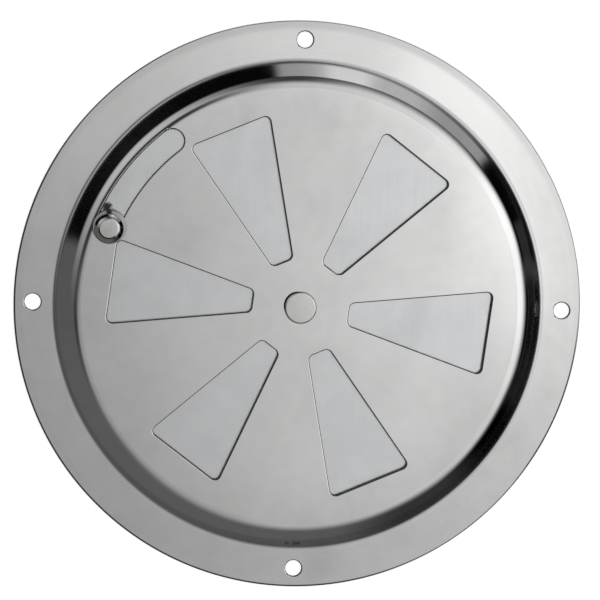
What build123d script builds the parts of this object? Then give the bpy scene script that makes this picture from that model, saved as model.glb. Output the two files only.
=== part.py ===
from build123d import *
from math import cos, degrees, radians, sin, tan
import os

os.makedirs("parts", exist_ok=True)

# Butterfly vent: a round pressed face plate with six windows, and a shutter behind it that
# turns by half a window pitch to open or close them. Millimetres. The origin is the centre of
# the flange's back, which goes against the bulkhead, and +Z points out of the front.
# The shutter is drawn closed.

# Face plate, pressed from one sheet
plate_d = 127.0
sheet = 0.9
plate_rise = 5.3  # front of the raised disc above the back of the flange
flange_width = 8.6  # flat ring from the foot of the wall out to the edge
wall_angle = 45.0  # slope of the wall against the flange
rim_bend_r = 4.1  # rounded bend between the raised disc and the wall
foot_bend_r = 1.0  # hollow bend between the wall and the flange

# Screw holes in the flange
screw_count = 4
screw_hole_d = 3.6
screw_edge = 4.2  # from the hole's centre to the edge of the flange

# Windows, the same in the face plate and in the shutter
window_count = 6
window_turn = -7.0  # direction of the first window
window_lap = 4.8  # degrees by which the closed shutter overlaps each side of a window
window_inner_r = 11.1  # radius of the two inner corners, before rounding
window_corner_r = 1.25
window_margin = 0.7  # radial distance from the windows' outer corners to the slot

# Curved slot that the knob's neck travels in
slot_overrun = 0.6  # how far the slot runs into the rim bend
slot_play = 0.95  # room each side of the neck

# Shutter
shutter_sheet = 0.8
shutter_cover = 0.35  # how far the disc reaches past the slot
slide_gap = 0.05  # running gap between faces that slide on each other
fit_gap = 0.02  # gap round a piece that is held fast

# Pivot rivet and its washers
head_d = 7.0
head_height = 0.7
head_bevel = 0.4
journal_d = 4.8
pivot_play = 0.05  # radial running clearance of the shutter on the rivet
tail_step = 0.6  # the tail is this much slimmer than the journal, each side
tail_lip = 1.1
tail_height = 0.7
bearing_washer_d = 12.0
bearing_washer_height = 0.4
pivot_washer_d = 9.0
pivot_washer_height = 0.6
spring_width = 9.6
spring_sheet = 0.4
spring_bow = 0.55  # how far the bowed spring washer stands off at its middle

# Knob and its washers
neck_d = 3.2
knob_inset = 0.6  # how far the knob stands inside the slot's middle line
knob_height = 10.0  # above its washer
knob_d = 6.4
knob_shoulder = 1.4  # width and height of the knob's shoulder, which has two slopes
knob_grip = 4.0  # height of the knob's head, shoulder included
waist_d = 4.4
waist_height = 3.2  # above the washer
knob_foot_d = 5.4
knob_foot_height = 0.8
tenon_step = 0.4
tenon_lip = 0.7
tenon_height = 0.7
knob_washer_bridge = 1.25  # how far the washer rests on the plate beside the slot
knob_washer_height = 0.5
backing_washer_d = 6.0
backing_washer_height = 0.5

# Places that follow from the sizes above
half_wall = radians(wall_angle / 2)
plate_r = plate_d / 2
foot_corner_r = plate_r - flange_width - foot_bend_r * tan(half_wall)
rim_corner_r = foot_corner_r - (plate_rise - sheet) / tan(radians(wall_angle))
flat_r = rim_corner_r - rim_bend_r * tan(half_wall)
screw_circle_r = plate_r - screw_edge

pitch = 360 / window_count
travel = pitch / 2
window_span = pitch / 2 - window_lap
slot_width = neck_d + 2 * slot_play
slot_outer_r = flat_r + slot_overrun
slot_r = slot_outer_r - slot_width / 2
window_outer_r = slot_r - slot_width / 2 - window_margin
slot_turn = window_turn + 2.5 * pitch
slot_reach = travel - degrees(slot_play / slot_r)
knob_turn = slot_turn + travel / 2
knob_r = slot_r - knob_inset
shutter_r = slot_outer_r + shutter_cover

plate_back = plate_rise - sheet
bearing_back = plate_back - bearing_washer_height
shutter_front = bearing_back - slide_gap
shutter_back = shutter_front - shutter_sheet
spring_front = shutter_back - slide_gap
spring_back = spring_front - spring_bow - spring_sheet
pivot_washer_front = spring_back - fit_gap
pivot_washer_back = pivot_washer_front - pivot_washer_height
knob_washer_back = plate_rise + slide_gap
knob_back = knob_washer_back + knob_washer_height
knob_top = knob_back + knob_height
knob_slope = knob_shoulder * (1 - cos(radians(45)))  # the two slopes meet on a quarter circle
backing_washer_back = shutter_back - backing_washer_height
tail_d = journal_d - 2 * tail_step
tenon_d = neck_d - 2 * tenon_step


def polar(radius, turn):
    """A point at a radius and a direction from the pivot."""
    return (radius * cos(radians(turn)), radius * sin(radians(turn)))


knob_x, knob_y = polar(knob_r, knob_turn)
knob_axis = Axis((knob_x, knob_y, 0), (0, 0, 1))
knob_section = Plane(origin=(knob_x, knob_y, 0), x_dir=(1, 0, 0), z_dir=(0, -1, 0))


def knob_level(height):
    """A level plane with its centre on the knob's axis."""
    return Plane(origin=(knob_x, knob_y, height))


# One window: two radial sides and two straight ends, with rounded corners
with BuildSketch() as window:
    with BuildLine():
        Polyline(
            polar(window_inner_r, -window_span / 2),
            polar(window_outer_r, -window_span / 2),
            polar(window_outer_r, window_span / 2),
            polar(window_inner_r, window_span / 2),
            close=True,
        )
    make_face()
    fillet(window.vertices(), window_corner_r)

# The middle line of the curved slot
with BuildLine() as slot_path:
    CenterArc((0, 0), slot_r, slot_turn - slot_reach / 2, slot_reach)

# Face plate: the pressed section turned once round, then punched
with BuildPart() as face_plate:
    with BuildSketch(Plane.XZ):
        with BuildLine():
            FilletPolyline(
                (0, plate_rise),
                (rim_corner_r, plate_rise),
                (foot_corner_r, sheet),
                (plate_r, sheet),
                radius=[rim_bend_r, foot_bend_r],
            )
            offset(amount=sheet, side=Side.RIGHT)
        make_face()
    revolve(axis=Axis.Z)
    with BuildSketch(Plane.XY):
        Circle(journal_d / 2 + fit_gap)
        with PolarLocations(0, window_count, start_angle=window_turn):
            add(window.sketch)
        with PolarLocations(screw_circle_r, screw_count):
            Circle(screw_hole_d / 2)
        SlotArc(slot_path.edge(), slot_width)
    extrude(amount=plate_rise, mode=Mode.SUBTRACT)
face_plate.part.label = "face_plate"
export_step(face_plate.part, "parts/face_plate.step")

# Shutter: a flat disc whose windows stand half a pitch away from the plate's when closed
with BuildPart() as shutter:
    with BuildSketch(Plane.XY.offset(shutter_back)):
        Circle(shutter_r)
        Circle(journal_d / 2 + pivot_play, mode=Mode.SUBTRACT)
        with PolarLocations(0, window_count, start_angle=window_turn + travel):
            add(window.sketch, mode=Mode.SUBTRACT)
        with Locations((knob_x, knob_y)):
            Circle(tenon_d / 2 + fit_gap, mode=Mode.SUBTRACT)
    extrude(amount=shutter_sheet)
shutter.part.label = "shutter"
export_step(shutter.part, "parts/shutter.step")

# Bearing washer: keeps the shutter off the back of the plate
with BuildPart() as bearing_washer:
    with BuildSketch(Plane.XY.offset(bearing_back)):
        Circle(bearing_washer_d / 2)
        Circle(journal_d / 2 + fit_gap, mode=Mode.SUBTRACT)
    extrude(amount=bearing_washer_height)
bearing_washer.part.label = "bearing_washer"
export_step(bearing_washer.part, "parts/bearing_washer.step")

# Spring washer: a ring bent to a gentle arc, so it presses the shutter against its bearing
spring_half = spring_width / 2
with BuildPart() as spring_washer:
    with BuildSketch(Plane.XZ):
        with BuildLine():
            ThreePointArc(
                (-spring_half, spring_front),
                (0, spring_front - spring_bow),
                (spring_half, spring_front),
            )
            offset(amount=spring_sheet, side=Side.RIGHT)
        make_face()
    extrude(amount=spring_half, both=True)
    with BuildSketch(Plane.XY.offset(spring_back)):
        Circle(spring_half)
        Circle(journal_d / 2 + fit_gap, mode=Mode.SUBTRACT)
    extrude(amount=spring_front - spring_back, mode=Mode.INTERSECT)
spring_washer.part.label = "spring_washer"
export_step(spring_washer.part, "parts/spring_washer.step")

# Pivot washer: the tail of the rivet is closed over it
with BuildPart() as pivot_washer:
    with BuildSketch(Plane.XY.offset(pivot_washer_back)):
        Circle(pivot_washer_d / 2)
        Circle(tail_d / 2 + fit_gap, mode=Mode.SUBTRACT)
    extrude(amount=pivot_washer_height)
pivot_washer.part.label = "pivot_washer"
export_step(pivot_washer.part, "parts/pivot_washer.step")

# Pivot rivet: flat head on the front, journal for the shutter, and a closed tail
with BuildPart() as pivot_rivet:
    with BuildSketch(Plane.XZ):
        with BuildLine():
            Polyline(
                (0, plate_rise + head_height),
                (head_d / 2 - head_bevel, plate_rise + head_height),
                (head_d / 2, plate_rise + head_height - head_bevel),
                (head_d / 2, plate_rise),
                (journal_d / 2, plate_rise),
                (journal_d / 2, pivot_washer_front),
                (tail_d / 2, pivot_washer_front),
                (tail_d / 2, pivot_washer_back),
                (tail_d / 2 + tail_lip, pivot_washer_back),
                (tail_d / 2, pivot_washer_back - tail_height),
                (0, pivot_washer_back - tail_height),
                close=True,
            )
        make_face()
    revolve(axis=Axis.Z)
pivot_rivet.part.label = "pivot_rivet"
export_step(pivot_rivet.part, "parts/pivot_rivet.step")

# Knob: turned in one piece, with a waist to grip, a neck through the slot, and a tenon closed
# behind the shutter
with BuildPart() as knob:
    with BuildSketch(knob_section):
        with BuildLine():
            Polyline(
                (0, knob_top),
                (knob_d / 2 - knob_shoulder, knob_top),
                (knob_d / 2 - knob_slope, knob_top - knob_slope),
                (knob_d / 2, knob_top - knob_shoulder),
                (knob_d / 2, knob_top - knob_grip),
                (waist_d / 2, knob_back + waist_height),
                (knob_foot_d / 2, knob_back + knob_foot_height),
                (knob_foot_d / 2, knob_back),
                (neck_d / 2, knob_back),
                (neck_d / 2, shutter_front),
                (tenon_d / 2, shutter_front),
                (tenon_d / 2, backing_washer_back),
                (tenon_d / 2 + tenon_lip, backing_washer_back),
                (tenon_d / 2, backing_washer_back - tenon_height),
                (0, backing_washer_back - tenon_height),
                close=True,
            )
        make_face()
    revolve(axis=knob_axis)
knob.part.label = "knob"
export_step(knob.part, "parts/knob.step")

# Knob washer: slides on the plate beside the slot
with BuildPart() as knob_washer:
    with BuildSketch(knob_level(knob_washer_back)):
        Circle(slot_width / 2 + knob_washer_bridge)
        Circle(neck_d / 2 + pivot_play, mode=Mode.SUBTRACT)
    extrude(amount=knob_washer_height)
knob_washer.part.label = "knob_washer"
export_step(knob_washer.part, "parts/knob_washer.step")

# Backing washer: under the closed tenon, against the shutter's back
with BuildPart() as backing_washer:
    with BuildSketch(knob_level(backing_washer_back)):
        Circle(backing_washer_d / 2)
        Circle(tenon_d / 2 + fit_gap, mode=Mode.SUBTRACT)
    extrude(amount=backing_washer_height)
backing_washer.part.label = "backing_washer"
export_step(backing_washer.part, "parts/backing_washer.step")
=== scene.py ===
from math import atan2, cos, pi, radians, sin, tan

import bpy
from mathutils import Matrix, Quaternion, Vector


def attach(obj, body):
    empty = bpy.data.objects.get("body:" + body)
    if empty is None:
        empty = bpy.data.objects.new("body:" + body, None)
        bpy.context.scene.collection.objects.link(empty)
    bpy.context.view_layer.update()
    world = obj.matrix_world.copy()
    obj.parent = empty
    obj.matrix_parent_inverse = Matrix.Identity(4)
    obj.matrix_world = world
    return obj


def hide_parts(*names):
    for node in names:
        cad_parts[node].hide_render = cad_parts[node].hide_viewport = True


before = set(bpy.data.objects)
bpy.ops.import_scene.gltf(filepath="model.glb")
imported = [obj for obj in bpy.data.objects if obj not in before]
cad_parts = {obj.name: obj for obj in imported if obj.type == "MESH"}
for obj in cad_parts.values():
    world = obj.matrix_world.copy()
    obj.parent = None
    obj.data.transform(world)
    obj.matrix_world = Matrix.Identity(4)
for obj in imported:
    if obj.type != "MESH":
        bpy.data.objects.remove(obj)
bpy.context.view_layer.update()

# %% [markdown]
# # A butterfly vent in polished steel
# The vent is a round plate pressed from one thin sheet, with a turning shutter behind it, a rivet
# through the middle and a small knob in a curved slot. The loaded frame holds every solid at its real
# size and place, in metres, so the first thing kept is the size of the whole.

mm = 0.001

# %% [markdown]
# The camera comes first, because polished steel only shows what surrounds it, and what it shows
# depends on where the viewer stands. The vent lies on its back and the camera hangs half a metre
# above it, a little to the upper left, with a long lens that keeps the circles round.

# %% Camera
camera_place = Vector((-36.6, 40.3, 509.8)) * mm
camera_turn = Vector((-0.0769, -0.0712, 0.0198))  # turn away from straight down, in radians

camera_data = bpy.data.cameras.new("camera")
camera_data.lens = 137.35
camera_data.sensor_width = 36.0
camera = bpy.data.objects.new("camera", camera_data)
bpy.context.scene.collection.objects.link(camera)
camera.location = camera_place
camera.rotation_mode = "QUATERNION"
camera.rotation_quaternion = Quaternion(camera_turn, camera_turn.length)
bpy.context.scene.camera = camera
bpy.context.scene.view_settings.view_transform = "Standard"
print("the camera is", round(camera_place.length, 3), "m from the vent")

# %% [markdown]
# Materials and the studio are both node trees. These helpers add a node, feed its inputs with numbers
# or links, and do sums, so that a finish reads as a few lines of plain steps.


# %% Node helpers
def add_node(tree, kind, **settings):
    """Adds a node and sets its properties."""
    node = tree.nodes.new(kind)
    for key, value in settings.items():
        setattr(node, key, value)
    return node


def feed(tree, node, **inputs):
    """Sets or links a node's inputs: underscores stand for spaces, and i0, i1 count the inputs."""
    for key, value in inputs.items():
        name = int(key[1:]) if key[0] == "i" and key[1:].isdigit() else key.replace("_", " ")
        if isinstance(value, bpy.types.NodeSocket):
            tree.links.new(value, node.inputs[name])
        else:
            node.inputs[name].default_value = value
    return node


def sums(tree, operation, first, second=0.0, third=0.0):
    """One Math node, with numbers or links as its inputs."""
    node = add_node(tree, "ShaderNodeMath", operation=operation)
    feed(tree, node, i0=first, i1=second, i2=third)
    return node.outputs[0]


def ramp(tree, value, low, high, to_low=0.0, to_high=1.0, soft=True):
    """Carries a value from one range to another, and holds it at the ends."""
    node = add_node(tree, "ShaderNodeMapRange")
    node.interpolation_type = "SMOOTHSTEP" if soft else "LINEAR"
    feed(tree, node, Value=value, From_Min=low, From_Max=high, To_Min=to_low, To_Max=to_high)
    return node.outputs[0]


def stripe(tree, value, low, high, soft, soft_high=None):
    """1 between two values and 0 outside, with soft edges; the upper edge may have its own softness."""
    soft_high = soft if soft_high is None else soft_high
    rise = ramp(tree, value, low - soft / 2, low + soft / 2)
    fall = ramp(tree, value, high - soft_high / 2, high + soft_high / 2, 1.0, 0.0)
    return sums(tree, "MULTIPLY", rise, fall)


def toward(tree, angle, middle, half, soft):
    """1 within so many degrees of a direction, and 0 beyond."""
    away = sums(tree, "WRAP", sums(tree, "SUBTRACT", angle, middle), 180.0, -180.0)
    return ramp(tree, sums(tree, "ABSOLUTE", away), half - soft / 2, half + soft / 2, 1.0, 0.0)


def bearing(tree, side, back):
    """The direction of a point that is so far to the side and back, in degrees."""
    return sums(tree, "MULTIPLY", sums(tree, "ARCTAN2", back, side), 180 / pi)


def distance(tree, side, back):
    """How far off a point is that lies so far to the side and back."""
    return sums(tree, "SQRT", sums(tree, "MULTIPLY_ADD", side, side, sums(tree, "MULTIPLY", back, back)))


# %% [markdown]
# The studio is what the steel shows. It is painted on the world as a few panels and flags, each a
# stretch of directions: its turn round the vent, and its slope from straight overhead (0) to level
# (90). A near-mirror finish needs them in the right places, and a soft edge on a panel gives a soft
# band in the steel. The camera itself sees plain white, as on a light table.

# %% Directions in the studio
world = bpy.data.worlds.new("studio")
bpy.context.scene.world = world
world.use_nodes = True
sky = world.node_tree
sky.nodes.clear()

direction = add_node(sky, "ShaderNodeTexCoord").outputs["Generated"]
along = add_node(sky, "ShaderNodeSeparateXYZ")
feed(sky, along, Vector=direction)
# The pattern turns about the spot overhead that the vent's centre reflects
overhead_x = -camera_place.x / camera_place.z
overhead_y = -camera_place.y / camera_place.z
across = sums(sky, "MULTIPLY_ADD", along.outputs["Z"], -overhead_x, along.outputs["X"])
upward = sums(sky, "MULTIPLY_ADD", along.outputs["Z"], -overhead_y, along.outputs["Y"])
turn = bearing(sky, across, upward)
slope = sums(sky, "MULTIPLY", sums(sky, "ARCCOSINE", along.outputs["Z"]), 180 / pi)
reach = distance(sky, across, upward)

# %% One panel or flag
steel_share = 0.62    # what polished stainless steel gives back of the light that falls on it
screen_gamma = 2.2    # from a grey level on the screen to the light behind it


def shown(level):
    """A panel's brightness, from the grey level of 0 to 255 that the steel is to show of it."""
    return (level / 255) ** screen_gamma / steel_share


def card(under, level, turns, slopes, soft_turn, soft_slope, measure=slope):
    """Lays one panel or flag over the studio, with soft edges; turns and slopes are in degrees.

    Where the measure is reach, the slopes are a span of reach.
    """
    cover = stripe(sky, measure, *slopes, *soft_slope)
    if turns:
        middle, half = (turns[0] + turns[1]) / 2, (turns[1] - turns[0]) / 2
        cover = sums(sky, "MULTIPLY", cover, toward(sky, turn, middle, half, soft_turn))
    mix = add_node(sky, "ShaderNodeMix", data_type="FLOAT")
    feed(sky, mix, i0=cover, i2=under, i3=shown(level))
    return mix.outputs[0]


# %% The panel overhead
# Straight overhead it is dim at the left and bright at the right
slant = sums(sky, "MULTIPLY_ADD", along.outputs["Y"], 0.21, along.outputs["X"])
dim, bright = 153 / 255, 216 / 255
overhead = ramp(sky, slant, -0.05, 0.15, dim, bright, soft=False)
tones = sums(sky, "DIVIDE", sums(sky, "POWER", overhead, screen_gamma), steel_share)
# Further out it brightens in steps, from the lower left round to the right. Each row is a grey level,
# the turns it spans, and how soft its edges are in turn; these cards go by reach and not by slope
outer, soft_outer = (0.091, 3), (0.034, 0.1)
for level, turns, soft_turn in (
    (150, None, 1),
    (142, (160, 236), 30),
    (172, (-100, 158), 24),
    (190, (-65, 95), 34),
    (205, (-35, 68), 34),
    (222, (-22, 52), 20),
    (250, (-9, 36), 16),
):
    tones = card(tones, level, turns, outer, soft_turn, soft_outer, reach)

# %% What the flange shows
# A ring of the panel, bright at the upper right with one sharp edge
ring, soft_ring = (0.101, 0.135), (0.005, 0.02)
for level, turns, soft_turn in (
    (152, None, 1),
    (180, (-76, 150), 90),
    (200, (-28, 118), 60),
    (216, (15, 102), 40),
    (252, (35, 80), 24),
    (214, (68, 97), 1),
):
    tones = card(tones, level, turns, ring, soft_turn, soft_ring, reach)
# A strip lamp just inside the ring brightens the disc towards its right edge
strip_lamp, soft_lamp = (0.096, 0.104), (0.014, 0.003)
tones = card(tones, 290, (-6, 34), strip_lamp, 16, soft_lamp, reach)

# %% Round the sides, level with the vent and below
# Each row is a grey level, the turns and the slopes it spans, and how soft its edges are in both
low_down = 140   # the slope where what hangs round the sides ends
for row in (
    # The room beyond the panel
    (84, (140, 235), (34, low_down), 60, (36, 1)),
    (88, (200, 308), (43, low_down), 26, (50, 1)),
    (72, (28, 110), (60, low_down), 20, (56, 1)),
    (60, (80, 130), (44, low_down), 20, (36, 1)),
    # A dark gap in it, and a grey panel at the upper left
    (50, (106, 178), (18, 41), 34, (14, 12)),
    (55, (172, 200), (30, 50), 30, (14, 12)),
    (178, (115, 163), (43, 77), 44, (14, 18)),
    # Dark flags at the right and the lower right, and a black one at the upper left
    (14, (-30, 10), (59, low_down), 18, (42, 1)),
    (10, (4, 37), (65, low_down), 10, (32, 1)),
    (52, (-70, -22), (57, low_down), 22, (42, 1)),
    (8, (-44, -22), (60, low_down), 14, (42, 1)),
    (12, (93, 168), (84, low_down), 4, (12, 1)),
    # A pale card between them at the top
    (142, (33, 93), (87, low_down), 3, (6, 1)),
    (172, (52, 84), (86, low_down), 12, (8, 1)),
    (205, (68, 80), (85, low_down), 6, (12, 1)),
    # A grey strip low down at the right
    (48, (-19, 16), (92, 99), 1, (2, 2)),
    # The room below is plain grey
    (120, None, (125, 181), 1, (20, 1)),
):
    tones = card(tones, *row)
print("the studio has", len(sky.nodes), "nodes")

# %% What the camera sees
white = feed(sky, add_node(sky, "ShaderNodeBackground"), Color=(1, 1, 1, 1), Strength=1.0)
studio = feed(sky, add_node(sky, "ShaderNodeBackground"), Color=(1, 1, 1, 1), Strength=tones)
by_camera = add_node(sky, "ShaderNodeLightPath").outputs["Is Camera Ray"]
either = add_node(sky, "ShaderNodeMixShader")
feed(sky, either, i0=by_camera, i1=studio.outputs[0], i2=white.outputs[0])
sky.links.new(either.outputs[0], add_node(sky, "ShaderNodeOutputWorld").inputs["Surface"])

# %% [markdown]
# The floor is plain white paper. The camera sees it almost as a light table, and it keeps the vent's
# soft shadow. One large lamp overhead lights what isn't steel; it has no mirror image.

# %% Floor and lamp
bpy.ops.object.select_all(action="DESELECT")
floor_gap = 0.02   # in mm, so that the flange's back and the floor don't flicker
bpy.ops.mesh.primitive_plane_add(size=6.0, location=(0, 0, -floor_gap * mm))
floor = bpy.context.object
floor.name = "floor"
floor.visible_glossy = False
paper = bpy.data.materials.new("white paper")
paper.use_nodes = True
tree = paper.node_tree
tree.nodes.clear()
glow = feed(tree, add_node(tree, "ShaderNodeEmission"), Color=(1, 1, 1, 1), Strength=1.0)
matt = feed(tree, add_node(tree, "ShaderNodeBsdfDiffuse"), Color=(0.95, 0.95, 0.95, 1))
by_camera = add_node(tree, "ShaderNodeLightPath").outputs["Is Camera Ray"]
share = sums(tree, "MULTIPLY", by_camera, 0.8)
both = feed(tree, add_node(tree, "ShaderNodeMixShader"), i0=share, i1=matt.outputs[0], i2=glow.outputs[0])
tree.links.new(both.outputs[0], add_node(tree, "ShaderNodeOutputMaterial").inputs["Surface"])
floor.data.materials.append(paper)

lamp_data = bpy.data.lights.new("overhead lamp", "AREA")
lamp_data.size = 1.2
lamp_data.energy = 14.0
lamp = bpy.data.objects.new("overhead lamp", lamp_data)
bpy.context.scene.collection.objects.link(lamp)
lamp.location = (0.1, 0.1, 1.2)
lamp.visible_glossy = False
print("floor and lamp are in place")

# %% [markdown]
# Nearly everything on the vent is pressed from sheet or turned, so it starts as a section that is
# drawn once and spun round an axis. The section is drawn as on paper: a point is extruded from corner
# to corner, and a rounded corner is the same point spun round the corner's centre.


# %% Drawing a section
arc_step = radians(3.5)   # about what one segment of a rounded corner turns
large_steps, small_steps = 288, 96   # segments round a large turned piece and a small one


def nothing_selected():
    """Leaves edit mode and deselects every object."""
    if bpy.context.mode != "OBJECT":
        bpy.ops.object.mode_set(mode="OBJECT")
    bpy.ops.object.select_all(action="DESELECT")


def only(piece):
    """Selects one piece alone and makes it the active one."""
    nothing_selected()
    piece.select_set(True)
    bpy.context.view_layer.objects.active = piece


def pen(name, place):
    """A new piece that is one selected point, in edit mode."""
    nothing_selected()
    bpy.ops.mesh.primitive_plane_add(size=mm)
    piece = bpy.context.object
    piece.name = piece.data.name = name
    bpy.ops.object.mode_set(mode="EDIT")
    bpy.ops.mesh.select_mode(type="VERT")
    bpy.ops.mesh.select_all(action="SELECT")
    bpy.ops.mesh.merge(type="CENTER")
    bpy.ops.transform.translate(value=place)
    return piece


def draw_section(name, corners, about=(0.0, 0.0)):
    """Draws corners of (radius, height, rounding), in mm, outwards from an upright axis."""
    places = [Vector((about[0] + radius, about[1], height)) * mm for radius, height, _ in corners]
    piece = pen(name, places[0])
    here = places[0]
    for index in range(1, len(places)):
        corner, rounding = places[index], corners[index][2] * mm
        if rounding:
            came = (corner - places[index - 1]).normalized()
            leaves = (places[index + 1] - corner).normalized()
            bend = atan2(came.x * leaves.z - came.z * leaves.x, came.dot(leaves))
            edge = rounding * tan(abs(bend) / 2)
            left = Vector((-came.z, 0.0, came.x)) * (1 if bend > 0 else -1)
            start = corner - came * edge
            bpy.ops.mesh.extrude_region_move(TRANSFORM_OT_translate={"value": start - here})
            centre = start + left * rounding
            steps = max(4, round(abs(bend) / arc_step))
            bpy.ops.mesh.spin(steps=steps, angle=bend, center=centre, axis=(0, 1, 0))
            here = corner + leaves * edge
        else:
            bpy.ops.mesh.extrude_region_move(TRANSFORM_OT_translate={"value": corner - here})
            here = corner
    return piece


def turned(name, corners, steps=small_steps, about=(0.0, 0.0)):
    """Spins a drawn section once round its upright axis and closes the seam and the poles."""
    piece = draw_section(name, corners, about)
    centre = (about[0] * mm, about[1] * mm, 0)
    bpy.ops.mesh.select_all(action="SELECT")
    bpy.ops.mesh.spin(steps=steps, angle=2 * pi, center=centre, axis=(0, 0, 1))
    bpy.ops.mesh.select_all(action="SELECT")
    bpy.ops.mesh.remove_doubles(threshold=0.0005 * mm)
    bpy.ops.mesh.normals_make_consistent(inside=False)
    bpy.ops.object.mode_set(mode="OBJECT")
    return piece


# %% Small helpers for finishing
rounded_over = radians(35)   # edges that turn more than this are rounded
smooth_under = radians(40)   # edges that turn less than this are shaded smooth


def pick_faces(piece, test):
    """Selects the faces whose middle and normal pass a test, and leaves edit mode on."""
    bpy.context.view_layer.objects.active = piece
    bpy.ops.object.mode_set(mode="EDIT")
    bpy.ops.mesh.select_mode(type="FACE")
    bpy.ops.mesh.select_all(action="DESELECT")
    bpy.ops.object.mode_set(mode="OBJECT")
    for face in piece.data.polygons:
        face.select = test(face.center, face.normal)
    bpy.ops.object.mode_set(mode="EDIT")


def apply_all(piece):
    """Applies every modifier on a piece, in order."""
    only(piece)
    for modifier in list(piece.modifiers):
        bpy.ops.object.modifier_apply(modifier=modifier.name)


def shade_evenly(piece):
    """Shades a piece smooth, with its flats flat, and says how large it is."""
    only(piece)
    bpy.ops.object.shade_smooth_by_angle(angle=smooth_under)
    even = piece.modifiers.new("flats stay flat", "WEIGHTED_NORMAL")
    even.weight = 80
    even.keep_sharp = True
    apply_all(piece)
    print(piece.name, "has", len(piece.data.polygons), "faces")


def soften(piece, width, segments):
    """Rounds the sharp edges of a piece, as deburring does, and shades it smooth."""
    bevel = piece.modifiers.new("deburred edges", "BEVEL")
    bevel.width = width * mm
    bevel.segments = segments
    bevel.limit_method = "ANGLE"
    bevel.angle_limit = rounded_over
    bevel.use_clamp_overlap = False
    bevel.miter_outer = "MITER_ARC"
    shade_evenly(piece)


def give(piece, finish, test):
    """Gives a second finish to the faces that pass a test."""
    piece.data.materials.append(finish)
    pick_faces(piece, test)
    piece.active_material_index = len(piece.data.materials) - 1
    bpy.ops.object.material_slot_assign()
    bpy.ops.object.mode_set(mode="OBJECT")


# %% [markdown]
# The face plate is drawn in a press: a flat disc with the vent's windows, a rounded bend, a sloping
# wall, a tighter hollow bend at its foot, and a flat flange. Only its front skin is drawn and spun,
# and Solidify then gives it the sheet's thickness, which is how a pressing keeps one thickness all
# over. The flat disc is made one face, so that nothing disturbs its mirror.

# %% Face plate: the pressed form
sheet = 0.9
plate_front = 5.3
plate_r = 63.5
flat_r = 48.388   # where the flat disc ends
foot_r = 54.98    # where the flat flange starts
rim_bend = 4.1
foot_bend = 1.2
wall = radians(45)
rim_corner = flat_r + rim_bend * tan(wall / 2)
foot_corner = foot_r - foot_bend * tan(wall / 2)

face = turned("pressed_face", [
    (0.0, plate_front, 0),
    (rim_corner, plate_front, rim_bend),
    (foot_corner, sheet, foot_bend),
    (plate_r, sheet, 0),
], large_steps)
pick_faces(face, lambda place, normal: abs(normal.z) > 0.99999 and place.z > (plate_front - 0.01) * mm)
bpy.ops.mesh.dissolve_faces()
bpy.ops.object.mode_set(mode="OBJECT")
if face.data.polygons[0].normal.z < 0:
    face.data.flip_normals()
print("front skin:", len(face.data.polygons), "faces")

# %% Face plate: thickness
skin = face.modifiers.new("sheet", "SOLIDIFY")
skin.thickness = sheet * mm
skin.offset = -1.0
skin.use_even_offset = True
apply_all(face)
print("sheet:", [round(side / mm, 2) for side in face.dimensions], "mm")

# %% [markdown]
# The windows are punched. A punch is a plane with its outer edge stretched and its corners rounded,
# pulled up into a prism. It is made afresh for each window and turned about the pivot to its place,
# because the shutter behind needs the same six punches half a pitch further round.

# %% The window punch
window_first = -7.0   # direction of the first window, in degrees
window_half = 12.6    # half the angle that a window spans
window_in = 11.1      # radius of the inner corners
window_out = 43.19    # radius of the outer corners
window_count = 6
window_pitch = 360 / window_count
corner_r = 1.25
corner_segments = 7
near = 0.01           # in mm; points closer than this count as one place


def punch_up(low, high):
    """Pulls the flat outline that is being edited up into a prism between two heights."""
    bpy.ops.mesh.select_all(action="SELECT")
    bpy.ops.transform.translate(value=(0, 0, low * mm))
    bpy.ops.mesh.extrude_region_move(TRANSFORM_OT_translate={"value": (0, 0, (high - low) * mm)})
    bpy.ops.mesh.select_all(action="SELECT")
    bpy.ops.mesh.normals_make_consistent(inside=False)
    bpy.ops.object.mode_set(mode="OBJECT")


def window_punch(low, high):
    """The punch of a window that lies straight to the right of the pivot."""
    nothing_selected()
    start_half = 0.5   # half the width of the plane that it starts as
    bpy.ops.mesh.primitive_plane_add(size=2 * start_half * mm)
    punch = bpy.context.object
    bpy.ops.object.mode_set(mode="EDIT")
    bpy.ops.mesh.select_mode(type="VERT")
    half = radians(window_half)
    for radius, side in ((window_in, -1), (window_out, 1)):
        bpy.ops.mesh.select_all(action="DESELECT")
        bpy.ops.object.mode_set(mode="OBJECT")
        ends = [v for v in punch.data.vertices if v.co.x * side > 0 and abs(v.co.x) < mm]
        for vertex in ends:
            vertex.select = True
        bpy.ops.object.mode_set(mode="EDIT")
        wide = 2 * radius * sin(half)
        bpy.ops.transform.resize(value=(1, wide, 1), center_override=(0, 0, 0))
        bpy.ops.transform.translate(value=((radius * cos(half) - side * start_half) * mm, 0, 0))
    for radius, inner_angle in ((window_in, 90 + window_half), (window_out, 90 - window_half)):
        bpy.ops.mesh.select_all(action="DESELECT")
        bpy.ops.object.mode_set(mode="OBJECT")
        for vertex in punch.data.vertices:
            vertex.select = abs(vertex.co.x - radius * cos(half) * mm) < near * mm
        bpy.ops.object.mode_set(mode="EDIT")
        bpy.ops.mesh.bevel(offset=corner_r / tan(radians(inner_angle / 2)) * mm, offset_type="OFFSET",
                           affect="VERTICES", segments=corner_segments, profile=0.5)
    punch_up(low, high)
    return punch


def turn_about_pivot(piece, degrees_round):
    """Turns a piece's mesh about the pivot."""
    only(piece)
    piece.rotation_euler.z = radians(degrees_round)
    bpy.ops.object.transform_apply(location=False, rotation=True, scale=False)


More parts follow.
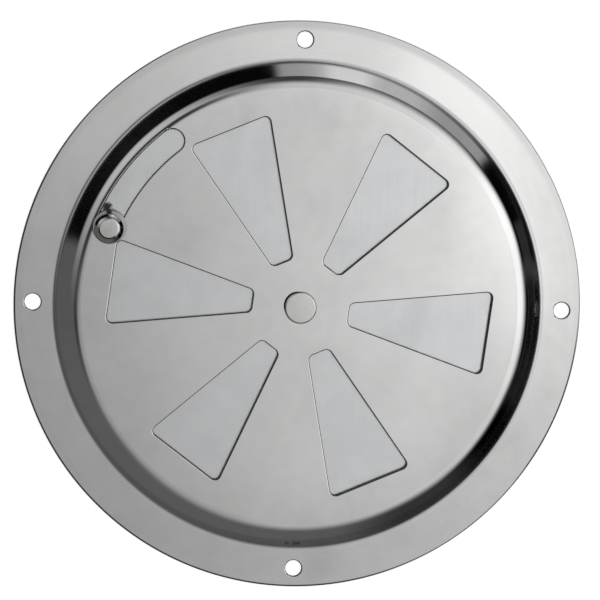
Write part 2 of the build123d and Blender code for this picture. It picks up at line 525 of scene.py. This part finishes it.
def punch_out(piece, punch, operation="DIFFERENCE"):
    """Cuts a punch out of a piece, and throws the punch away."""
    cut = piece.modifiers.new("punched", "BOOLEAN")
    cut.operation = operation
    cut.solver = "EXACT"
    cut.object = punch
    apply_all(piece)
    bpy.data.objects.remove(punch)


def punch_windows(piece, low, high, first):
    """Cuts all the windows between two heights, from the direction of the first one."""
    for number in range(window_count):
        punch = window_punch(low, high)
        turn_about_pivot(punch, first + window_pitch * number)
        punch_out(piece, punch)
    print(piece.name, "has", window_count, "windows")


def punch_hole(piece, x, y, radius, low, high):
    """Cuts one round hole between two heights."""
    nothing_selected()
    bpy.ops.mesh.primitive_cylinder_add(vertices=64, radius=radius * mm, depth=(high - low) * mm,
                                        location=(x * mm, y * mm, (low + high) / 2 * mm))
    punch_out(piece, bpy.context.object)


pan_low, pan_high = 2.0, 7.0   # heights below and above the raised disc, for its punches
punch_windows(face, pan_low, pan_high, window_first)

# %% [markdown]
# The slot for the knob follows an arc about the pivot, and its outer edge runs a little way into the
# rounded bend. Its punch is a short radial line, spun along the arc, with a half turn at each end.

# %% The slot, the screw holes and the pivot hole
slot_r = 46.438        # radius of the slot's middle line
slot_half = 2.55       # half the slot's width
slot_middle = 143.0    # direction of its middle, in degrees
slot_reach = 28.83     # the turn between the centres of its round ends
slot_steps, end_steps = 28, 16
pivot_hole_r = 2.42
screw_count = 4
screw_circle_r = 59.3
screw_hole_r = 1.8

slot = pen("slot_punch", ((slot_r - slot_half) * mm, 0, 0))
for _ in range(2):
    bpy.ops.mesh.extrude_region_move(TRANSFORM_OT_translate={"value": (slot_half * mm, 0, 0)})
bpy.ops.mesh.select_all(action="SELECT")
bpy.ops.mesh.spin(steps=slot_steps, angle=-radians(slot_reach), center=(0, 0, 0), axis=(0, 0, 1))
for end_turn, half_turn in ((0.0, pi), (slot_reach, -pi)):
    way = Vector((cos(radians(end_turn)), sin(radians(end_turn)), 0))
    end, outer = way * slot_r * mm, way * (slot_r + slot_half) * mm
    bpy.ops.mesh.select_all(action="DESELECT")
    bpy.ops.object.mode_set(mode="OBJECT")
    for vertex in slot.data.vertices:
        vertex.select = min((vertex.co - end).length, (vertex.co - outer).length) < near * mm
    bpy.ops.object.mode_set(mode="EDIT")
    bpy.ops.mesh.spin(steps=end_steps, angle=half_turn, center=end, axis=(0, 0, 1))
bpy.ops.mesh.select_all(action="SELECT")
bpy.ops.mesh.remove_doubles(threshold=0.005 * mm)
bpy.ops.mesh.dissolve_limited(angle_limit=radians(0.1))
punch_up(pan_low, pan_high)
turn_about_pivot(slot, slot_middle - slot_reach / 2)
punch_out(face, slot)

punch_hole(face, 0.0, 0.0, pivot_hole_r, pan_low, pan_high)
for number in range(screw_count):
    round_to = radians(360 / screw_count * number)
    screw_x, screw_y = screw_circle_r * cos(round_to), screw_circle_r * sin(round_to)
    punch_hole(face, screw_x, screw_y, screw_hole_r, -1.0, pan_low)
print("the face has", len(face.data.polygons), "faces after punching")

# %% Face plate: edges
plate_edge = 0.27   # how far its cut edges are rounded
face.data.materials.clear()
only(face)
bpy.ops.object.mode_set(mode="EDIT")
bpy.ops.mesh.select_all(action="SELECT")
bpy.ops.mesh.remove_doubles(threshold=near * mm)
bpy.ops.object.mode_set(mode="OBJECT")
soften(face, plate_edge, 4)

# %% [markdown]
# The shutter is a flat disc of slightly thinner sheet with the same six windows. It is closed here, so
# its windows stand half a pitch away from the plate's. It has a hole for the rivet, which it turns on,
# and one for the knob's tenon.

# %% Shutter
shutter_front, shutter_back = 3.95, 3.15
shutter_r = 49.338
shutter_edge = 0.2
shutter_low, shutter_high = 2.5, 4.5   # heights below and above it, for its punches
shutter_bore_r = 2.45
tenon_hole_r = 1.22
knob_circle_r = 45.838
knob_way = radians(158)
knob_place = knob_circle_r * cos(knob_way), knob_circle_r * sin(knob_way)

shutter = turned("shutter_disc", [
    (0.0, shutter_front, 0),
    (shutter_r, shutter_front, 0),
    (shutter_r, shutter_back, 0),
    (0.0, shutter_back, 0),
], large_steps)
for side in (1, -1):
    pick_faces(shutter, lambda place, normal: normal.z * side > 0.999)
    bpy.ops.mesh.dissolve_faces()
    bpy.ops.object.mode_set(mode="OBJECT")
punch_windows(shutter, shutter_low, shutter_high, window_first + window_pitch / 2)
punch_hole(shutter, 0.0, 0.0, shutter_bore_r, shutter_low, shutter_high)
punch_hole(shutter, *knob_place, tenon_hole_r, shutter_low, shutter_high)
soften(shutter, shutter_edge, 3)

# %% [markdown]
# The rivet and the knob are turned parts. The rivet has a flat head with a rounded rim, a journal that
# the shutter runs on, and a tail that was hammered over its washer, which leaves a low dome with a
# dimple. Every corner that shows gets the small radius that a tool leaves, because polished metal
# without one shows no highlight along its edges.

# %% Rivet
head_top = 6.0
head_r = 3.5
journal_r = 2.4
tail_r = 1.8
pivot_washer = (2.13, 1.53)   # front and back of the washer under the rivet's tail

rivet = turned("rivet", [
    (0.0, head_top, 0),
    (head_r, head_top, 0.35),
    (head_r, plate_front, 0.12),
    (journal_r, plate_front, 0),
    (journal_r, pivot_washer[0], 0),
    (tail_r, pivot_washer[0], 0),
    (tail_r, pivot_washer[1], 0),
    (2.75, pivot_washer[1], 0.1),
    (2.35, 1.12, 0.5),
    (1.5, 0.84, 0.4),
    (0.75, 0.84, 0.12),
    (0.35, 1.12, 0.15),
    (0.0, 1.16, 0),
])
shade_evenly(rivet)

# %% [markdown]
# The knob stands ten millimetres high on its washer, with a waist to grip. Its head has a flat top
# that rounds over into a cone at 45 degrees. A neck goes down through the slot, and a tenon
# through the shutter, where it is hammered over another washer.

# %% Knob
knob_back = 5.85
knob_top = 15.85
knob_r = 3.2
knob_foot_r = 2.7
neck_r = 1.6
tenon_r = 1.2
backing_washer = (3.15, 2.65)   # front and back of the washer under the knob's tenon

knob = turned("knob_button", [
    (0.0, knob_top, 0),
    (2.0, knob_top, 0.5),
    (2.4, knob_top - 0.161, 1.6),
    (knob_r, knob_top - 0.961, 0.3),
    (knob_r, knob_top - 4.0, 0.9),
    (2.2, knob_back + 3.2, 2.6),
    (knob_foot_r, knob_back + 0.8, 0.5),
    (knob_foot_r, knob_back, 0.12),
    (neck_r, knob_back, 0),
    (neck_r, shutter_front, 0),
    (tenon_r, shutter_front, 0),
    (tenon_r, backing_washer[1], 0),
    (1.8, backing_washer[1], 0.08),
    (1.5, 2.25, 0.3),
    (0.9, 1.97, 0.3),
    (0.45, 1.97, 0.1),
    (0.2, 2.12, 0.1),
    (0.0, 2.14, 0),
], about=knob_place)
shade_evenly(knob)

# %% [markdown]
# The washers are stamped rings. A ring's section starts in the middle of one side and comes back
# there, so that all four of its corners can be rounded.


# %% Washers
def ring_section(inner, outer, top, bottom, edge):
    """The section of a flat ring, with its corners rounded by so many mm."""
    middle = (inner + outer) / 2
    return [
        (middle, bottom, 0),
        (outer, bottom, edge),
        (outer, top, edge),
        (inner, top, edge),
        (inner, bottom, edge),
        (middle, bottom, 0),
    ]


knob_ring = turned("knob_ring", ring_section(1.65, 3.8, knob_back, 5.35, 0.12), about=knob_place)
tenon_washer = turned("tenon_washer", ring_section(1.22, 3.0, *backing_washer, 0.1), about=knob_place)
tail_washer = turned("tail_washer", ring_section(1.82, 4.5, *pivot_washer, 0.12))
nylon_ring = turned("nylon_ring", ring_section(2.42, 6.0, 4.4, 4.0, 0.06))
for washer in (knob_ring, tenon_washer, tail_washer, nylon_ring):
    shade_evenly(washer)

# %% [markdown]
# The spring washer is a thin ring bent to a gentle arc. A point is spun along that arc, the arc is
# drawn out into a strip and thickened, and what lies inside a plain ring is kept.

# %% Spring washer
spring_top, spring_bow, spring_half, spring_sheet = 3.1, 0.55, 4.8, 0.4
spring_edge = 0.06
bow_steps = 24
bow_r = (spring_half ** 2 + spring_bow ** 2) / (2 * spring_bow)
bow_reach = 2 * atan2(spring_half, bow_r - spring_bow)

spring = pen("bowed_spring", (-spring_half * mm, -spring_half * mm, spring_top * mm))
bow_centre = (0, 0, (spring_top - spring_bow + bow_r) * mm)
bpy.ops.mesh.spin(steps=bow_steps, angle=bow_reach, center=bow_centre, axis=(0, 1, 0))
bpy.ops.mesh.select_all(action="SELECT")
bpy.ops.mesh.extrude_region_move(TRANSFORM_OT_translate={"value": (0, 2 * spring_half * mm, 0)})
bpy.ops.mesh.select_all(action="SELECT")
bpy.ops.mesh.normals_make_consistent(inside=False)
bpy.ops.object.mode_set(mode="OBJECT")
if spring.data.polygons[0].normal.z < 0:
    spring.data.flip_normals()
strip = spring.modifiers.new("spring sheet", "SOLIDIFY")
strip.thickness = spring_sheet * mm
strip.offset = -1.0
apply_all(spring)
trimmer = turned("trimmer", ring_section(2.42, spring_half - near, 4.0, 1.0, 0))
punch_out(spring, trimmer, "INTERSECT")
soften(spring, spring_edge, 2)

# %% Bodies, nodes and slots
pieces = {
    "face_plate": (face, "face", "face_steel"),
    "pivot_rivet": (rivet, "face", "rivet_steel"),
    "bearing_washer": (nylon_ring, "face", "nylon"),
    "spring_washer": (spring, "face", "spring_steel"),
    "pivot_washer": (tail_washer, "face", "washer_steel"),
    "shutter": (shutter, "damper", "shutter_steel"),
    "knob": (knob, "damper", "knob_steel"),
    "knob_washer": (knob_ring, "damper", "washer_steel"),
    "backing_washer": (tenon_washer, "damper", "washer_steel"),
}
for node, (piece, body, slot_name) in pieces.items():
    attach(piece, body)
    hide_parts(node)
    corners = [Vector(corner) for corner in piece.bound_box]
    print(piece.name, "piece", [round(min(c[i] for c in corners) / mm, 2) for i in range(3)],
          [round(max(c[i] for c in corners) / mm, 2) for i in range(3)])

# %% [markdown]
# Nearly every finish is a metal shader with a little of what polished sheet really shows: clouds where
# the buff pressed more or less, fine grain, marks where parts rub, and rougher places that the buff can't
# reach. Dark lines and spots of painted shade and painted shadow, and a few painted highlights, are added
# at edges, joints, the foot and beside the knob and rivet. All of it is made by nodes from the surface's
# own coordinates, so it stays on the metal.


# %% Tools for finishes
def new_finish(name, rough, metallic=1.0):
    """A new material: its node tree, its shader, and the surface's coordinates in metres."""
    material = bpy.data.materials.new(name)
    material.use_nodes = True
    shader = material.node_tree.nodes["Principled BSDF"]
    shader.inputs["Metallic"].default_value = metallic
    shader.inputs["Roughness"].default_value = rough
    place = add_node(material.node_tree, "ShaderNodeTexCoord").outputs["Object"]
    return material, material.node_tree, shader, place


def clouds(tree, place, size, detail, stretch=(1, 1, 1)):
    """Soft noise from 0 to 1, with patches about so many mm across, drawn out where stretch is small."""
    spot = feed(tree, add_node(tree, "ShaderNodeMapping"), Vector=place, Scale=stretch)
    noise = add_node(tree, "ShaderNodeTexNoise")
    feed(tree, noise, Vector=spot.outputs[0], Scale=1 / (size * mm), Detail=detail)
    return noise.outputs[0]


def round_axis(tree, place, x=0.0, y=0.0):
    """Radius in mm and direction in degrees round an upright axis, and height in mm."""
    parts = feed(tree, add_node(tree, "ShaderNodeSeparateXYZ"), Vector=place)
    side = sums(tree, "MULTIPLY_ADD", parts.outputs["X"], 1 / mm, -x)
    back = sums(tree, "MULTIPLY_ADD", parts.outputs["Y"], 1 / mm, -y)
    height = sums(tree, "MULTIPLY", parts.outputs["Z"], 1 / mm)
    return distance(tree, side, back), bearing(tree, side, back), height


def lines(tree, first, second, size, detail):
    """Noise over two coordinates in metres; it draws lines along the one that changes slowly."""
    spot = feed(tree, add_node(tree, "ShaderNodeCombineXYZ"), i0=first, i1=second)
    return clouds(tree, spot.outputs[0], size, detail)


def less(tree, shade, mark, amount):
    """Darkens a shade by a share, where a mark is."""
    return sums(tree, "MULTIPLY", shade, sums(tree, "MULTIPLY_ADD", mark, -amount, 1.0))


def shadow_spot(tree, place, x, y, wide, high):
    """A ragged dark spot of painted shadow, in mm, about a place on a flat piece."""
    parts = feed(tree, add_node(tree, "ShaderNodeSeparateXYZ"), Vector=place)
    side = sums(tree, "MULTIPLY_ADD", parts.outputs["X"], 1 / mm / wide, -x / wide)
    back = sums(tree, "MULTIPLY_ADD", parts.outputs["Y"], 1 / mm / high, -y / high)
    away = distance(tree, side, back)
    ragged = clouds(tree, place, 0.5, 3, (0.5, 1.6, 1))
    return ramp(tree, sums(tree, "MULTIPLY_ADD", ragged, 1.6, away), 1.3, 2.0, 1.0, 0.0)


def paint(tree, shader, colour, shade, rough, height, depth):
    """Sends colour times shade, roughness, and bumps of a depth in mm, to the shader."""
    toned = add_node(tree, "ShaderNodeVectorMath", operation="SCALE")
    feed(tree, toned, i0=colour, Scale=shade)
    bumps = feed(tree, add_node(tree, "ShaderNodeBump"), Height=height, Distance=depth * mm)
    feed(tree, shader, Base_Color=toned.outputs[0], Roughness=rough, Normal=bumps.outputs[0])


# %% [markdown]
# The face plate is bright stainless sheet, polished but not to a perfect mirror. Its flat part is faintly
# cloudy. The pressing draws the metal down the wall, which leaves fine upright streaks, and the buff runs
# round the flange. It doesn't reach into the hollow at the foot, which stays rougher, and there the
# colour is darkened as painted shade.

# %% Face plate: polished sheet
plate_finish, tree, shader, place = new_finish("polished plate", 0.09)
radius, angle, height = round_axis(tree, place)
broad_cloud = sums(tree, "MULTIPLY", clouds(tree, place, 11, 4), 0.6)
cloud = sums(tree, "MULTIPLY_ADD", clouds(tree, place, 3, 2), 0.4, broad_cloud)
smudge = ramp(tree, clouds(tree, place, 30, 6), 0.52, 0.68)
grain = clouds(tree, place, 0.35, 1)
# Lines that run round the flange change slowly with direction, and lines up the wall with radius
slow_turn, slow_radius = 0.05, 0.06
flange_lines = lines(tree, sums(tree, "MULTIPLY", radius, mm),
                     sums(tree, "MULTIPLY", angle, slow_turn * mm), 0.5, 3)
wall_lines = lines(tree, sums(tree, "MULTIPLY", radius, slow_radius * mm),
                   sums(tree, "MULTIPLY", angle, mm), 0.7, 3)
# Where on the plate each mark lies, by radius in mm and at the foot by height too
on_flange = ramp(tree, radius, 54.8, 56.0)
on_wall = stripe(tree, radius, 50.0, 54.5, 1.5)
foot = sums(tree, "MULTIPLY", stripe(tree, radius, 54.0, 55.1, 0.6), ramp(tree, height, 2.6, 1.9))
rim = ramp(tree, radius, 61.0, 62.6)
very_edge = ramp(tree, radius, 63.04, 63.14)

shade = sums(tree, "MULTIPLY_ADD", cloud, 0.22, 0.9)
shade = less(tree, shade, smudge, 0.07)
# The hollow at the foot is darkened as painted shade
shade = less(tree, shade, foot, 0.22)
shade = less(tree, shade, rim, 0.07)
# The very edge is darkened as painted shade, but for the part at the upper right and a stretch lower down
edge_shade_sides = sums(tree, "MAXIMUM", toward(tree, angle, 218, 74, 24), toward(tree, angle, -20, 16, 12))
shade = less(tree, shade, sums(tree, "MULTIPLY", very_edge, edge_shade_sides), 0.85)
shade = less(tree, shade, sums(tree, "MULTIPLY", flange_lines, on_flange), 0.06)
shade = less(tree, shade, sums(tree, "MULTIPLY", wall_lines, on_wall), 0.10)
# A dark joint line rings the rivet's head, and a painted shadow lies in a crescent at its upper left
shadow_x, shadow_y = -0.605, 0.44
shadow_crescent = ramp(tree, round_axis(tree, place, shadow_x, shadow_y)[0], 3.12, 3.2, 1.0, 0.0)
thin_ring = sums(tree, "MULTIPLY", ramp(tree, radius, 3.56, 3.62, 1.0, 0.0), 0.75)
joint_and_shadow = sums(tree, "MAXIMUM", shadow_crescent, thin_ring)
shade = less(tree, shade, joint_and_shadow, 0.96)

rough = sums(tree, "MULTIPLY_ADD", cloud, 0.05, 0.065)
rough = sums(tree, "MULTIPLY_ADD", foot, 0.16, rough)
rough = sums(tree, "MULTIPLY_ADD", rim, 0.08, rough)
rough = sums(tree, "MULTIPLY_ADD", joint_and_shadow, 0.4, rough)
wave = sums(tree, "MULTIPLY_ADD", grain, 0.004, clouds(tree, place, 14, 1))
wave = sums(tree, "MULTIPLY_ADD", sums(tree, "MULTIPLY", wall_lines, on_wall), 0.03, wave)
wave = sums(tree, "MULTIPLY_ADD", sums(tree, "MULTIPLY", flange_lines, on_flange), 0.01, wave)
paint(tree, shader, (0.634, 0.635, 0.629), shade, rough, wave, 0.012)
print("polished plate:", len(tree.nodes), "nodes")

# %% [markdown]
# A punch shears the sheet. It rolls the upper edge over, and leaves the rest of the cut dull, because the
# buff never reaches it. The cut is coloured dark as painted shade, which draws a dark line round each
# window and the slot. Round the plate's own rim the cut is painted bright for about a third of the way, a
# painted highlight.

# %% Sheared edges
sheared, tree, shader, place = new_finish("sheared edge", 0.4)
tears = clouds(tree, place, 0.3, 2, (1, 1, 0.15))
radius, angle, height = round_axis(tree, place)
# The rim's cut is painted bright at the upper right, a painted highlight
painted_bright = sums(tree, "MULTIPLY", toward(tree, angle, 55, 61, 24), ramp(tree, radius, 62.0, 62.5))
# The lower part of a screw hole's wall is painted brighter, a painted highlight
at_screws = stripe(tree, radius, 57.0, 61.8, 0.2)
painted_bright_holes = sums(tree, "MULTIPLY", at_screws, ramp(tree, height, 0.72, 0.78, 1.0, 0.0))
painted_bright = sums(tree, "MAXIMUM", painted_bright, sums(tree, "MULTIPLY", painted_bright_holes, 0.6))
shade = sums(tree, "MULTIPLY_ADD", tears, 0.8, 0.6)
shade = sums(tree, "MULTIPLY", shade, sums(tree, "MULTIPLY_ADD", painted_bright, 5.5, 1.0))
rough = sums(tree, "MULTIPLY_ADD", tears, 0.3, 0.3)
# The cut's dark colour is painted shade
paint(tree, shader, (0.085, 0.085, 0.085), shade, rough, tears, 0.02)

# %% [markdown]
# The shutter's sheet is as it left the rolling mill, so it is less mirror-like than the plate, cooler
# in tone, and its fine lines all run one way. The bearing washer has rubbed a faint ring round the
# pivot.

# %% Shutter: rolled sheet
shutter_finish, tree, shader, place = new_finish("rolled sheet", 0.24)
radius, _, _ = round_axis(tree, place)
cloud = clouds(tree, place, 7, 4)
rolled = clouds(tree, place, 0.45, 3, (1, 0.03, 1))
rubbed = stripe(tree, radius, 3.6, 6.2, 0.5)
shade = sums(tree, "MULTIPLY_ADD", cloud, 0.18, 0.91)
shade = less(tree, shade, rolled, 0.04)
shade = less(tree, shade, rubbed, 0.12)
shade = less(tree, shade, ramp(tree, clouds(tree, place, 16, 5), 0.56, 0.72), 0.06)
# A painted shadow of the knob on the shutter, above it in the slot
knob_shadow = shadow_spot(tree, place, -43.1, 21.5, 1.2, 1.1)
shade = less(tree, shade, knob_shadow, 0.9)
rough = sums(tree, "MULTIPLY_ADD", rolled, 0.06, 0.2)
rough = sums(tree, "MULTIPLY_ADD", rubbed, 0.15, rough)
rough = sums(tree, "MULTIPLY_ADD", knob_shadow, 0.3, rough)
wave = sums(tree, "MULTIPLY_ADD", rolled, 0.08, clouds(tree, place, 18, 1))
paint(tree, shader, (0.652, 0.658, 0.666), shade, rough, wave, 0.012)

# %% [markdown]
# The rivet's head is matt and a little warmer, from the tool that set it. The knob is turned and
# polished, with faint rings from the lathe, a dark ring of painted shade where its flat top ends,
# heaviest at the lower left, and a band of painted shade where the cone below it ends. Its waist is a
# little duller from fingers.

# %% Rivet and knob
rivet_finish, tree, shader, place = new_finish("set rivet", 0.3)
radius, _, _ = round_axis(tree, place)
cloud = clouds(tree, place, 1.6, 4)
dents = clouds(tree, place, 0.4, 2)
worn = stripe(tree, radius, 3.15, 3.4, 0.2)
shade = less(tree, sums(tree, "MULTIPLY_ADD", cloud, 0.16, 0.92), worn, -0.06)
rough = sums(tree, "MULTIPLY_ADD", dents, 0.1, 0.16)
paint(tree, shader, (0.60, 0.60, 0.580), shade, rough, dents, 0.0008)

knob_finish, tree, shader, place = new_finish("turned knob", 0.09)
radius, angle, height = round_axis(tree, place, *knob_place)
rings = lines(tree, sums(tree, "MULTIPLY", radius, mm), sums(tree, "MULTIPLY", height, mm), 0.16, 2)
cloud = clouds(tree, place, 2.5, 3)
# A dark ring of painted shade where the flat top ends, heaviest at the lower left
shade_side = sums(tree, "MULTIPLY_ADD", toward(tree, angle, 245, 68, 26), 0.88, 0.12)
top_shade = sums(tree, "MULTIPLY", stripe(tree, radius, 1.92, 2.22, 0.1), ramp(tree, height, 15.3, 15.4))
top_shade = sums(tree, "MULTIPLY", top_shade, shade_side)
# A band of painted shade under the cone's edge
shade_under_cone = stripe(tree, height, 14.2, 15.0, 0.06)
gripped = stripe(tree, height, 7.4, 11.4, 1.0)
shade = sums(tree, "MULTIPLY_ADD", cloud, 0.08, 0.96)
shade = less(tree, shade, rings, 0.05)
shade = less(tree, shade, top_shade, 0.97)
shade = less(tree, shade, shade_under_cone, 0.85)
shade = less(tree, shade, gripped, 0.12)
rough = sums(tree, "MULTIPLY_ADD", cloud, 0.05, 0.06)
rough = sums(tree, "MULTIPLY_ADD", gripped, 0.12, rough)
paint(tree, shader, (0.60, 0.60, 0.592), shade, rough, rings, 0.0015)

# %% [markdown]
# The washers are stamped from duller strip and never polished. Hardening leaves the spring a shade
# darker, and the bearing washer is natural nylon, slightly yellow, with a moulded grain.

# %% Washers, spring and nylon
washer_finish, tree, shader, place = new_finish("stamped washer", 0.25)
cloud = clouds(tree, place, 1.8, 3)
scratch = clouds(tree, place, 0.2, 2, (1, 0.06, 1))
shade = less(tree, sums(tree, "MULTIPLY_ADD", cloud, 0.2, 0.9), scratch, 0.12)
# Painted shade round the lower rim of the knob's washer, heaviest at its upper left, and a painted shadow
# of the knob over it
radius, angle, height = round_axis(tree, place, *knob_place)
shade_side = sums(tree, "MULTIPLY_ADD", toward(tree, angle, 140, 75, 40), 0.85, 0.15)
rim_shade = sums(tree, "MULTIPLY", stripe(tree, radius, 3.6, 3.9, 0.06), ramp(tree, height, 5.3, 5.4))
rim_shade = sums(tree, "MULTIPLY", rim_shade, shade_side)
rim_shade = sums(tree, "MAXIMUM", rim_shade, shadow_spot(tree, place, -42.6, 20.4, 0.8, 1.0))
shade = less(tree, shade, rim_shade, 0.9)
rough = sums(tree, "MULTIPLY_ADD", scratch, 0.2, 0.14)
paint(tree, shader, (0.47, 0.47, 0.465), shade, rough, scratch, 0.003)

spring_finish, tree, shader, place = new_finish("hardened spring", 0.35)
cloud = clouds(tree, place, 2.2, 4)
scratch = clouds(tree, place, 0.25, 2, (1, 0.08, 1))
shade = less(tree, sums(tree, "MULTIPLY_ADD", cloud, 0.3, 0.85), scratch, 0.15)
rough = sums(tree, "MULTIPLY_ADD", scratch, 0.2, 0.26)
paint(tree, shader, (0.46, 0.455, 0.45), shade, rough, scratch, 0.003)

nylon_finish, tree, shader, place = new_finish("natural nylon", 0.45, 0.0)
cloud = clouds(tree, place, 2.0, 3)
moulded = clouds(tree, place, 0.15, 2)
shade = less(tree, sums(tree, "MULTIPLY_ADD", cloud, 0.08, 0.95), moulded, 0.04)
rough = sums(tree, "MULTIPLY_ADD", moulded, 0.2, 0.38)
paint(tree, shader, (0.86, 0.85, 0.80), shade, rough, moulded, 0.01)
print("finishes:", [material.name for material in bpy.data.materials if material.use_nodes])

# %% Putting the finishes on
finishes = {
    "face_steel": plate_finish, "shutter_steel": shutter_finish, "rivet_steel": rivet_finish,
    "knob_steel": knob_finish, "washer_steel": washer_finish, "spring_steel": spring_finish,
    "nylon": nylon_finish,
}
for piece, _, slot_name in pieces.values():
    piece.data.materials.append(finishes[slot_name])


rim_starts = 62.9          # radius beyond which a face belongs to the plate's own rim
bends = (49.2, 57.0)       # radii between which a steep face is the pressed wall and no cut


def steeper(normal, limit):
    """Whether a face stands more than so many degrees off level."""
    return abs(normal.z) < cos(radians(limit))


def cut_face(place, normal):
    """A face of the plate that a punch has cut, or the rounded edge beside it."""
    out = Vector((place.x, place.y)).length / mm
    if out > rim_starts:
        return steeper(normal, 8)
    return (out < bends[0] or out > bends[1]) and steeper(normal, 25)


give(face, sheared, cut_face)
give(shutter, sheared, lambda place, normal: steeper(normal, 25))
print("sheared faces:", sum(polygon.material_index == 1 for polygon in face.data.polygons))
